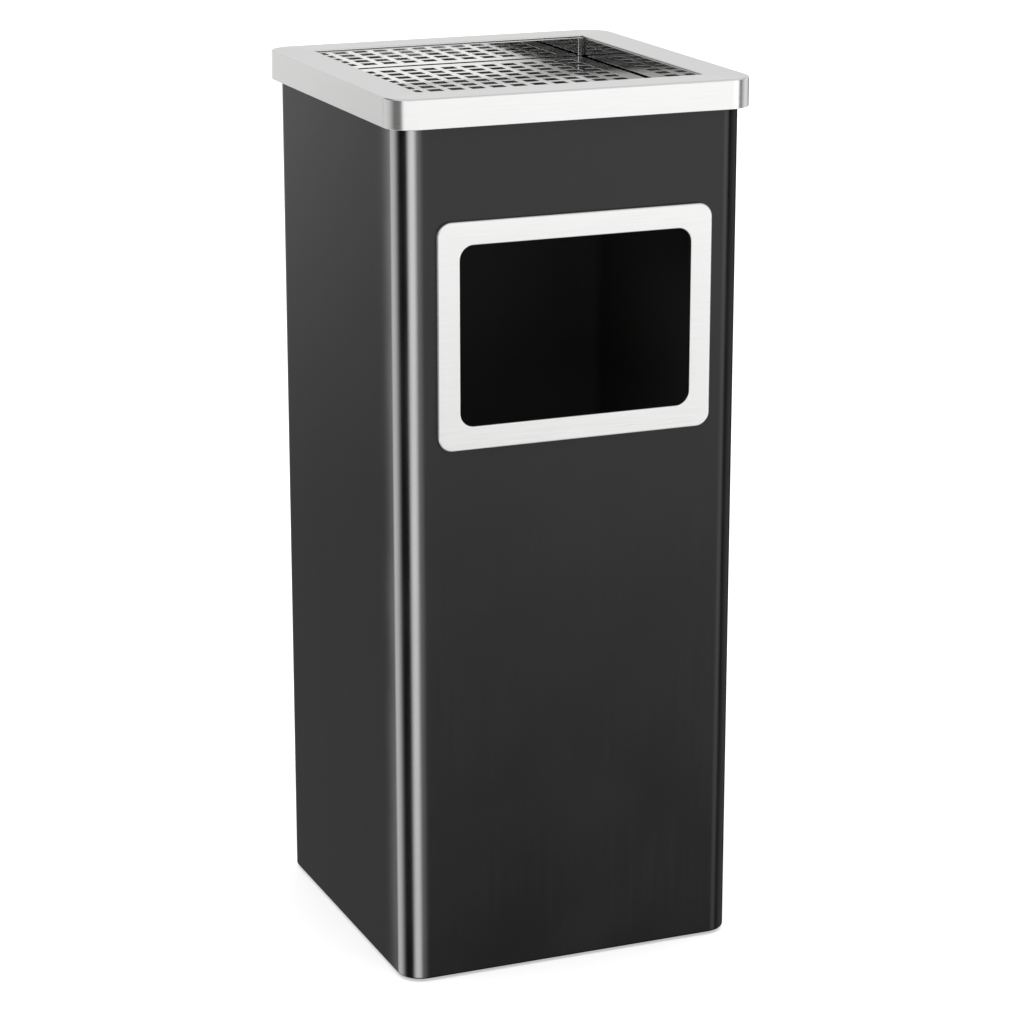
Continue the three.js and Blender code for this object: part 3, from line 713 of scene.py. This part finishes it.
class Builder:
    """Collects one piece's mesh and its grain map, which is in metres along and across the grain."""

    def __init__(self, map_grain=None):
        self.bm = bmesh.new()
        self.grain = self.bm.loops.layers.uv.new("grain")
        self.map_grain = map_grain

    def verts(self, points):
        return [self.bm.verts.new(point) for point in points]

    def face(self, verts, coordinates=None):
        made = self.bm.faces.new(verts)
        self.paint_grain(made, coordinates)

    def paint_grain(self, face, coordinates=None):
        """Sets a face's grain from the piece's own rule, the given coordinates or its plan."""
        face.smooth = True
        for i, loop in enumerate(face.loops):
            spot = loop.vert.co
            if self.map_grain:
                loop[self.grain].uv = self.map_grain(spot)
            elif coordinates:
                loop[self.grain].uv = coordinates[i]
            else:
                loop[self.grain].uv = (spot.x, spot.y + spot.z)

    def loft(self, rings, closed=False, cap_start=False, cap_end=False):
        """Joins rings of equal length into a skin whose grain runs round the rings."""
        rows = [self.verts(ring) for ring in rings]
        count = len(rings[0])
        widest = max(rings, key=ring_length)
        along = [0.0]
        for i in range(count):
            along.append(along[-1] + (widest[(i + 1) % count] - widest[i]).length)
        across = 0.0
        pairs = list(zip(range(len(rows) - 1), range(1, len(rows))))
        if closed:
            pairs.append((len(rows) - 1, 0))
        for a, b in pairs:
            after = across + (rings[b][0] - rings[a][0]).length
            for i in range(count):
                j = (i + 1) % count
                near, far = along[i], along[i + 1]
                spots = [(near, across), (far, across), (far, after), (near, after)]
                self.face([rows[a][i], rows[a][j], rows[b][j], rows[b][i]], spots)
            across = after
        if cap_start:
            self.face(rows[0][::-1])
        if cap_end:
            self.face(rows[-1])
        return rows

    def bridge(self, first, second):
        """Joins two loops of vertices with the same count."""
        for i, vert in enumerate(first):
            j = (i + 1) % len(first)
            self.face([vert, first[j], second[j], second[i]])

    def fill(self, outline, holes):
        """Fills a flat outline of vertices round hole loops of vertices."""
        edges = []
        for loop in [outline, *holes]:
            for i, vert in enumerate(loop):
                pair = (vert, loop[(i + 1) % len(loop)])
                edges.append(self.bm.edges.get(pair) or self.bm.edges.new(pair))
        filled = bmesh.ops.triangle_fill(self.bm, edges=edges, use_beauty=True, use_dissolve=False)
        for element in filled["geom"]:
            if isinstance(element, bmesh.types.BMFace):
                self.paint_grain(element)

    def take_face(self, spot):
        """Removes the flat face that holds a spot and returns its corners."""
        for face in self.bm.faces:
            spans = zip(spot, *[vert.co for vert in face.verts])
            if all(min(ends) - TINY < at < max(ends) + TINY for at, *ends in spans):
                outline = list(face.verts)
                self.bm.faces.remove(face)
                return outline
        raise ValueError("no face holds the spot")

    def pierce(self, spots, openings):
        """Cuts openings through the two faces of a sheet, each found by a spot on it."""
        cut = []
        for spot, loops in zip(spots, openings):
            outline = self.take_face(spot)
            holes = [self.verts(loop) for loop in loops]
            self.fill(outline, holes)
            cut.append(holes)
        for first, second in zip(*cut):
            self.bridge(first, second)

    def mesh(self, name):
        """The finished mesh, with outward normals and hard edges where it turns hard."""
        bmesh.ops.recalc_face_normals(self.bm, faces=self.bm.faces)
        mesh = bpy.data.meshes.new(name)
        self.bm.to_mesh(mesh)
        self.bm.free()
        mesh.set_sharp_from_angle(angle=SMOOTH_BELOW)
        return mesh


def lofted(name, rings, closed=False):
    """The mesh of a single skin, which is closed on itself or else capped at both ends."""
    builder = Builder()
    builder.loft(rings, closed, cap_start=not closed, cap_end=not closed)
    return builder.mesh(name)


def ring_length(ring):
    return sum((ring[i] - ring[i - 1]).length for i in range(len(ring)))


def put(mesh, node, slot, matrix=None, finish=None):
    """Shows a mesh in place of one CAD node, on the node's body.

    Its material is the slot's own, or the named finish.
    """
    shown = mesh.copy()
    if matrix is not None:
        shown.transform(matrix)
    shown.materials.append(MATERIALS[finish or slot])
    piece = add_object("fine_" + node, shown)
    weighted = piece.modifiers.new("weighted_normals", "WEIGHTED_NORMAL")
    weighted.keep_sharp = True
    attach(piece, BODY_OF[node])
    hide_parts(node)


# ---- Housing ----


def outer_shell():
    """The folded sheet with its two flanges, the rear seam, the front cut-out and the stud holes."""
    outer, low, high = extent("outer_shell")
    inner = outer - SHELL_SHEET
    bend = SHELL_BEND
    inner_bend = bend - SHELL_SHEET
    outside = [
        (FOOT_FLANGE_HALF, low),
        *arc((outer - bend, low + bend), bend, -90, 0),
        *arc((outer - bend, high - bend), bend, 0, 90),
        (MOUTH_HALF, high),
    ]
    inside = [
        (MOUTH_HALF, high - SHELL_SHEET),
        *arc((outer - bend, high - bend), inner_bend, 90, 0),
        *arc((outer - bend, low + bend), inner_bend, 0, -90),
        (FOOT_FLANGE_HALF, low + SHELL_SHEET),
    ]
    rings = rings_of(outside, outer, SHELL_RADIUS, SHELL_SEAM)
    rings += rings_of(inside, outer, SHELL_RADIUS, (SHELL_SEAM[0], 0))
    builder = Builder()
    builder.loft(rings, closed=True)
    spots = []
    openings = []
    for y in (-outer, -inner):
        spots.append(Vector((0, y, TRIM_CENTRE.z)))
        turned = [shift(0, y) @ stud_axis(place) for place in STUD_PLACES]
        holes = [moved(circle_ring(STUD_HOLE_RADIUS, 0), matrix) for matrix in turned]
        openings.append([front_ring(*CUTOUT, y), *holes])
    builder.pierce(spots, openings)
    return builder.mesh("outer_shell")


def stud_axis(place):
    """Turns +Z to +Y and moves it to the axis of one of the trim's studs, at y = 0."""
    middle = centre("trim_nut_" + place)
    return shift(middle.x, 0, middle.z) @ turn(-pi / 2, "X")


def opening_trim():
    """The pressed frame: a flat face with rounded edges, hollow behind, and four threaded studs."""
    front, tip = (corner.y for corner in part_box("opening_trim"))
    back = front + TRIM_DEPTH
    sheet = TRIM_SHEET
    outer_edge = arc((TRIM_EDGE, front + TRIM_EDGE), TRIM_EDGE, 180, 270)
    inner_edge = arc((TRIM_LIP, front + TRIM_LIP), TRIM_LIP, 270, 180)
    rings = [trim_ring(0, back)]
    rings += [trim_ring(inset, y) for inset, y in outer_edge]
    rings += [opening_ring(margin, y) for margin, y in inner_edge]
    rings += [opening_ring(0, back), opening_ring(sheet, back), opening_ring(sheet, front + sheet)]
    rings += [trim_ring(sheet, front + sheet), trim_ring(sheet, back)]
    builder = Builder(map_grain=lambda spot: (spot.x + spot.y, spot.z + spot.y))
    builder.loft(rings, closed=True)
    for place in STUD_PLACES:
        thread = threaded_rings(STUD_RADIUS, front + sheet / 2, tip)
        builder.loft([moved(ring, stud_axis(place)) for ring in thread], cap_start=True, cap_end=True)
    return builder.mesh("opening_trim")


def trim_ring(inset, y):
    low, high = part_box("opening_trim")
    half_x = (high.x - low.x) / 2 - inset
    half_z = (high.z - low.z) / 2 - inset
    return front_ring(half_x, half_z, TRIM_RADIUS - inset, y)


def opening_ring(margin, y):
    half_x, half_z, radius = TRIM_OPENING
    return front_ring(half_x + margin, half_z + margin, radius + margin, y)


def hexagon_nut():
    """A chamfered hexagon nut on +Z, from 0 up."""
    low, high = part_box("trim_nut_upper_left")
    height = high.y - low.y
    flat = (high.z - low.z) / 2 * NUT_FLAT_TO_CORNER
    flat_circle = NUT_FACE * flat
    bore = NUT_BORE_RADIUS
    lower, upper = [], []
    for angle in full_turn(NUT_SIDES):
        folded = (angle + pi / 6) % (pi / 3) - pi / 6
        reach = flat / cos(folded)
        drop = (reach - flat_circle) * tan(NUT_CHAMFER)
        lower.append(polar(reach, angle, drop))
        upper.append(polar(reach, angle, height - drop))
    turned = [(flat_circle, height), (bore + NUT_BORE_EDGE, height), (bore, height - NUT_BORE_EDGE)]
    top = [circle_ring(radius, z, NUT_SIDES, 0) for radius, z in turned]
    bottom = [circle_ring(radius, height - z, NUT_SIDES, 0) for radius, z in reversed(turned)]
    return lofted("hexagon_nut", [lower, upper, *top, *bottom], closed=True)


def base_plate():
    """The bottom plate, with screw holes and a shallow panel pressed down in its middle."""
    outer, *levels = extent("base_plate")
    builder = Builder()
    rims = builder.loft([square_ring(outer, BASE_RADIUS, z) for z in levels])
    all_holes = []
    for rim, z in zip(rims, levels):
        slope = [(BASE_PANEL_HALF - inset, z - drop) for inset, drop in BASE_PANEL_SLOPE]
        panel = builder.loft(rings_of(slope, BASE_PANEL_HALF, BASE_PANEL_RADIUS), cap_end=True)
        holes = []
        for place in CORNERS:
            middle = centre("foot_" + place)
            ring = moved(circle_ring(SCREW_HOLE_RADIUS, z, HOLE_SIDES), shift(middle.x, middle.y))
            holes.append(builder.verts(ring))
        builder.fill(rim, [panel[0], *holes])
        all_holes.append(holes)
    for lower, upper in zip(*all_holes):
        builder.bridge(lower, upper)
    return builder.mesh("base_plate")


def rubber_foot():
    """A round pad on +Z with a counterbore, rounded edges and two grooves in its tread."""
    outer, _, top = extent("foot_front_left")
    edge = 0.6 * MM
    profile = [(SCREW_HOLE_RADIUS, top), (outer - edge / 2, top), (outer, top - edge / 2)]
    profile += arc((outer - edge, edge), edge, 0, -90)
    for groove in FOOT_GROOVES:
        profile += [(groove + 0.45 * MM, 0), (groove + 0.25 * MM, 0.4 * MM)]
        profile += [(groove - 0.25 * MM, 0.4 * MM), (groove - 0.45 * MM, 0)]
    sunk, seat = FOOT_COUNTERBORE
    profile += [(sunk + 0.3 * MM, 0), (sunk, 0.3 * MM), (sunk, seat), (SCREW_HOLE_RADIUS, seat)]
    rings = [circle_ring(radius, z, FOOT_SIDES) for radius, z in profile]
    return lofted("rubber_foot", rings, closed=True)


def pan_head_screw():
    """A screw on +Z, its cross-recessed head at the bottom and its thread up."""
    head, low, high = extent("foot_screw_front_left")
    seat = low + 0.9 * MM
    skin = [(head - 0.9 * MM, low), (head - 0.35 * MM, low + 0.12 * MM), (head, low + 0.5 * MM)]
    skin += [(head, seat), (SCREW_RADIUS - THREAD_DEPTH, seat)]
    builder = Builder()
    rows = builder.loft([circle_ring(radius, z, FASTENER_SIDES) for radius, z in skin])
    recess = [cross_ring(1.9 * MM, 0.5 * MM, low), cross_ring(1.3 * MM, 0.3 * MM, low + 0.6 * MM)]
    cross = builder.loft(recess, cap_end=True)
    builder.fill(rows[0], [cross[0]])
    turns = threaded_rings(SCREW_RADIUS, seat, high)
    thread = builder.loft(turns, cap_end=True)
    builder.bridge(rows[-1], thread[0])
    return builder.mesh("pan_head_screw")


def cross_ring(reach, half, z):
    """The outline of a cross recess with arms of that reach and half width."""
    arm = [(reach, half), (half, half), (half, reach)]
    points = []
    for quarter in range(4):
        rotation = turn(quarter * pi / 2, "Z")
        points += [rotation @ Vector((x, y, z)) for x, y in arm]
    return points


# ---- Lid ----


def lid_rim():
    """The flat frame with its rounded outer bend, its skirt and the turned edge of its opening."""
    outer, low, high = extent("lid_rim")
    inner = LID_OPENING_HALF
    sheet = LID_SHEET
    outside = [(outer - 0.25 * MM, low), (outer, low + 0.25 * MM)]
    outside += arc((outer - LID_BEND, high - LID_BEND), LID_BEND, 0, 90)
    opening = arc((inner + LID_EDGE, high - LID_EDGE), LID_EDGE, 90, 180, 3)
    opening += [(inner, high - sheet)]
    inside = arc((outer - LID_BEND, high - LID_BEND), LID_BEND - sheet, 90, 0, 3)
    inside += [(outer - sheet, low + 0.25 * MM), (outer - sheet + 0.25 * MM, low)]
    rings = rings_of(outside, outer, LID_RADIUS)
    rings += rings_of(opening, inner, LID_OPENING_RADIUS)
    rings += rings_of(inside, outer, LID_RADIUS)
    return lofted("lid_rim", rings, closed=True)


def ash_pan():
    """The square dish, with its flange under the rim and the turned-down lip that centres it."""
    lip, low, high = extent("ash_pan")
    sheet = PAN_SHEET
    wall = PAN_INSIDE_HALF
    floor_bend = 2.4 * MM
    top_bend = 0.4 * MM
    inside = arc((wall - floor_bend, low + sheet + floor_bend), floor_bend, -90, 0)
    inside += arc((wall + sheet + top_bend, high - sheet - top_bend), sheet + top_bend, 180, 90)
    flange = arc((lip - sheet - top_bend, high - sheet - top_bend), sheet + top_bend, 90, 0)
    flange += [(lip, high - PAN_LIP_HEIGHT), (lip - sheet, high - PAN_LIP_HEIGHT)]
    flange += arc((lip - sheet - top_bend, high - sheet - top_bend), top_bend, 0, 90)
    outside = arc((wall + sheet + top_bend, high - sheet - top_bend), top_bend, 90, 180)
    outside += arc((wall - floor_bend, low + sheet + floor_bend), floor_bend + sheet, 0, -90)
    rings = rings_of(inside, wall, PAN_INSIDE_RADIUS)
    rings += rings_of(flange, lip, PAN_LIP_RADIUS)
    rings += rings_of(outside, wall, PAN_INSIDE_RADIUS)
    return lofted("ash_pan", rings)


def grille_plate():
    """The square plate with its rows of square holes, whose corners and edges are eased."""
    outer, low, high = extent("grille_plate")
    ease = 0.15 * MM
    builder = Builder(map_grain=lambda spot: (spot.x, spot.y + spot.z))
    edge = [(outer - ease, low), (outer, low + ease), (outer, high - ease), (outer - ease, high)]
    rows = builder.loft(rings_of(edge, outer, GRILLE_RADIUS))
    holes = []
    for i in range(GRILLE_HOLES):
        for j in range(GRILLE_HOLES):
            middle = (GRILLE_HOLES - 1) / 2
            place = shift((i - middle) * GRILLE_PITCH, (j - middle) * GRILLE_PITCH)
            section = [(ease, low), (0, low + ease), (0, high - ease), (ease, high)]
            rings = [moved(hole_ring(GRILLE_HOLE_HALF + margin, z), place) for margin, z in section]
            holes.append(builder.loft(rings))
    builder.fill(rows[0], [hole[0] for hole in holes])
    builder.fill(rows[-1], [hole[-1] for hole in holes])
    return builder.mesh("grille_plate")


def hole_ring(half, z):
    """A small square with rounded corners."""
    radius = 0.7 * MM
    points = []
    for quarter in range(4):
        rotation = turn(quarter * pi / 2, "Z")
        for angle in (0, pi / 6, pi / 3, pi / 2):
            x = half - radius + radius * cos(angle)
            y = half - radius + radius * sin(angle)
            points.append(rotation @ Vector((x, y, z)))
    return points


def grille_frame():
    """The band under the plate, with eased edges."""
    outer, low, high = extent("grille_frame")
    inner = outer - GRILLE_SHEET
    ease = 0.2 * MM
    section = [(outer - ease, low), (outer, low + ease), (outer, high - ease), (outer - ease, high)]
    section += [(inner + ease, high), (inner, high - ease), (inner, low + ease), (inner + ease, low)]
    return lofted("grille_frame", rings_of(section, outer, GRILLE_BAND_RADIUS), closed=True)


# ---- Pail ----


def pail_wall():
    """The wrapped wall: a lap seam at the back, two swaged beads and a rolled bead at its top."""
    reach, low, high = extent("pail_wall")
    outer = PAIL_HALF
    inner = outer - PAIL_SHEET
    bead_x = (reach - inner) / 2
    bead_z = PAIL_BEAD_HEIGHT / 2
    bead = (inner + bead_x, high - bead_z)
    outside = [(outer, low)]
    inside = [(inner, low)]
    for middle in PAIL_SWAGES:
        outside += [(outer + push, middle + rise) for push, rise in SWAGE_PROFILE]
        inside += [(inner + push, middle + rise) for push, rise in SWAGE_PROFILE]
    outside += [(outer, high - 2 * bead_z)]
    rolled = arc(bead, (bead_x, bead_z), -75, 180, 3 * BEND_STEPS)
    rings = rings_of(outside, outer, PAIL_RADIUS, PAIL_LAP)
    rings += rings_of(rolled + inside[::-1], outer, PAIL_RADIUS, (PAIL_LAP[0], 0))
    builder = Builder()
    builder.loft(rings, closed=True)
    for side in SIDES:
        places = [centre("ear_rivet_%s_%s" % (side, end)) for end in ("front", "rear")]
        sign = -1 if side == "left" else 1
        spots = []
        openings = []
        for x in (sign * outer, sign * inner):
            spots.append(Vector((x, 0, places[0].z)))
            hole = moved(circle_ring(RIVET_HOLE_RADIUS, 0, RIVET_HOLE_SIDES), turn(pi / 2, "Y"))
            openings.append([moved(hole, shift(x, p.y, p.z)) for p in places])
        builder.pierce(spots, openings)
    return builder.mesh("pail_wall")


def pail_bottom():
    """The bottom panel, its middle raised a little and its edge turned down inside the wall."""
    outer, low, high = extent("pail_bottom")
    sheet = PAIL_SHEET
    bend = 1.8 * MM
    drop = 1 * MM
    step = outer - 16 * MM
    over = [(step - 1.5 * MM, high), (step, high - drop / 2), (step + 1.5 * MM, high - drop)]
    over += [(step + 4 * MM, high - drop), (step + 6 * MM, high)]
    under = [(half, z - sheet) for half, z in over]
    over += arc((outer - bend, high - bend), bend, 90, 0)
    under += arc((outer - bend, high - bend), bend - sheet, 90, 0)
    profile = over + [(outer, low), (outer - sheet, low)] + under[::-1]
    return lofted("pail_bottom", rings_of(profile, outer, PAIL_RADIUS - PAIL_SHEET))


def bail_ear():
    """The right ear: a strap riveted to the wall, joggled outwards, with a rounded pierced top."""
    low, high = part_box("bail_ear_right")
    sheet = EAR_SHEET
    half = (high.y - low.y) / 2
    bend_low, bend_high = EAR_BEND
    rivets = [centre("ear_rivet_right_" + end) for end in ("front", "rear")]
    builder = Builder()
    sheets = []
    for depth in (0, sheet):
        near = low.x + depth
        far = high.x - sheet + depth
        lower = builder.verts(ear_end(near, half, bend_low, low.z, EAR_FOOT_CORNER))
        upper = builder.verts(ear_end(far, half, bend_high, high.z, EAR_TOP_CORNER))
        rivet_holes = [builder.verts(side_circle(RIVET_HOLE_RADIUS, near, r.y, r.z)) for r in rivets]
        pivot_hole = builder.verts(side_circle(PIVOT_HOLE_RADIUS, far, 0, PIVOT_Z))
        builder.fill(lower, rivet_holes)
        builder.fill(upper, [pivot_hole])
        rows = [(lower[0], lower[-1])]
        for step in range(1, EAR_BEND_STEPS):
            share = step / EAR_BEND_STEPS
            eased = share * share * (3 - 2 * share)
            x = near + (far - near) * eased
            z = bend_low + (bend_high - bend_low) * share
            rows.append(tuple(builder.verts([(x, half, z), (x, -half, z)])))
        rows.append((upper[-1], upper[0]))
        for before, after in zip(rows, rows[1:]):
            builder.face([before[0], before[1], after[1], after[0]])
        bent = rows[1:-1]
        edge = lower[::-1] + [row[0] for row in bent] + upper[::-1] + [row[1] for row in bent[::-1]]
        sheets.append((edge, [*rivet_holes, pivot_hole]))
    (first_edge, first_holes), (second_edge, second_holes) = sheets
    builder.bridge(first_edge, second_edge)
    for first, second in zip(first_holes, second_holes):
        builder.bridge(first, second)
    return builder.mesh("bail_ear")


def ear_end(x, half, start, end, radius):
    """From one side of a strap at the start height, round its two corners at the end height, and back."""
    upward = 1 if end > start else -1
    points = []
    for quarter, side in enumerate((upward, -upward)):
        middle = (side * (half - radius), end - upward * radius)
        first = 90 * (1 - upward + quarter)
        points += arc(middle, radius, first, first + 90, EAR_CORNER_STEPS)
    return [(x, y, z) for y, z in [(upward * half, start), *points, (-upward * half, start)]]


def side_circle(radius, x, y, z):
    return [(x, y + radius * cos(a), z + radius * sin(a)) for a in full_turn(HOLE_SIDES)]


def ear_rivet():
    """A domed rivet on +Z, its height measured from the pail's middle out through the right wall."""
    low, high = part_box("ear_rivet_right_front")
    head = (high.y - low.y) / 2
    seats = (PAIL_HALF - PAIL_SHEET - GAP, PAIL_HALF + 2 * GAP + EAR_SHEET)
    inner_height = seats[0] - low.x
    outer_height = high.x - seats[1]
    profile = arc((0, seats[0]), (head, inner_height), -80, -8, 6) + [(head, seats[0])]
    profile += [(RIVET_RADIUS, seats[0]), (RIVET_RADIUS, seats[1]), (head, seats[1])]
    profile += arc((0, seats[1]), (head, outer_height), 8, 80, 6)
    return lofted("ear_rivet", [circle_ring(radius, z, FASTENER_SIDES) for radius, z in profile])


def bail_line():
    """The wire's centre line, x across and y away from the pivot, from its right end to its left."""
    arm = half_width("bail_handle") - WIRE_RADIUS
    hook = 3 * MM
    corner = 20 * MM
    half = [(PAIL_HALF + 1.8 * MM, 0)]
    half += arc((arm - hook, hook), hook, -90, 0, 8)
    half += arc((arm - corner, BAIL_REACH - corner), corner, 0, 90, 14)
    return half + [(-x, y) for x, y in reversed(half)]


def bail_handle():
    """The bent wire with its rounded ends."""
    tilt = shift(0, 0, PIVOT_Z) @ turn(BAIL_REST_TILT, "X")
    line = [Vector((x, y, 0)) for x, y in bail_line()]
    upward = Vector((0, 0, 1))
    rings = []
    for i, point in enumerate(line):
        along = (line[min(i + 1, len(line) - 1)] - line[max(i - 1, 0)]).normalized()
        across = upward.cross(along)
        for inset, radius in end_rounding(i, len(line)):
            middle = point + inset * along
            ring = [middle + radius * (cos(a) * across + sin(a) * upward) for a in full_turn(WIRE_SIDES)]
            rings.append(moved(ring, tilt))
    return lofted("bail_handle", rings)


def end_rounding(index, count):
    """Shifts along the wire and radii of the sections at one of its points."""
    ease = 0.6 * MM
    steps = [(0, WIRE_RADIUS - ease), (0.3 * ease, WIRE_RADIUS - 0.35 * ease), (ease, WIRE_RADIUS)]
    if index == 0:
        return steps
    if index == count - 1:
        return [(-inset, radius) for inset, radius in reversed(steps)]
    return [(0, WIRE_RADIUS)]


# ---- The whole bin ----


def make_housing():
    put(outer_shell(), "outer_shell", "painted_steel")
    put(base_plate(), "base_plate", "painted_steel")
    put(opening_trim(), "opening_trim", "satin_stainless")
    nut = hexagon_nut()
    for place in STUD_PLACES:
        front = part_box("trim_nut_" + place)[0].y
        put(nut, "trim_nut_" + place, "zinc_plated", shift(0, front) @ stud_axis(place))
    foot = rubber_foot()
    screw = pan_head_screw()
    for place in CORNERS:
        middle = centre("foot_" + place)
        matrix = shift(middle.x, middle.y)
        put(foot, "foot_" + place, "rubber", matrix)
        put(screw, "foot_screw_" + place, "zinc_plated", matrix)


def make_lid():
    put(lid_rim(), "lid_rim", "satin_stainless")
    put(ash_pan(), "ash_pan", "polished_stainless")
    put(grille_plate(), "grille_plate", "polished_stainless", finish="worn_stainless")
    put(grille_frame(), "grille_frame", "polished_stainless")


def make_pail():
    put(pail_wall(), "pail_wall", "galvanised_steel")
    put(pail_bottom(), "pail_bottom", "galvanised_steel")
    put(bail_handle(), "bail_handle", "zinc_plated")
    ear = bail_ear()
    rivet = ear_rivet()
    for side in SIDES:
        facing = turn(pi if side == "left" else 0, "Z")
        put(ear, "bail_ear_" + side, "galvanised_steel", facing)
        for end in ("front", "rear"):
            node = "ear_rivet_%s_%s" % (side, end)
            middle = centre(node)
            outward = turn(pi / 2 if side == "right" else -pi / 2, "Y")
            put(rivet, node, "zinc_plated", shift(0, middle.y, middle.z) @ outward)


make_camera()
make_world()
make_floor()
make_sun()
bpy.context.scene.view_settings.view_transform = "Standard"

MATERIALS = {
    "painted_steel": painted_steel(),
    "satin_stainless": satin_stainless(),
    "polished_stainless": polished_stainless("polished", POLISH),
    "worn_stainless": polished_stainless("worn", POLISH_WORN),
    "galvanised_steel": galvanised_steel(),
    "zinc_plated": zinc_plated(),
    "rubber": black_rubber(),
}

make_housing()
make_lid()
make_pail()
for strip in STRIPS:
    make_strip(strip)
make_underlight()
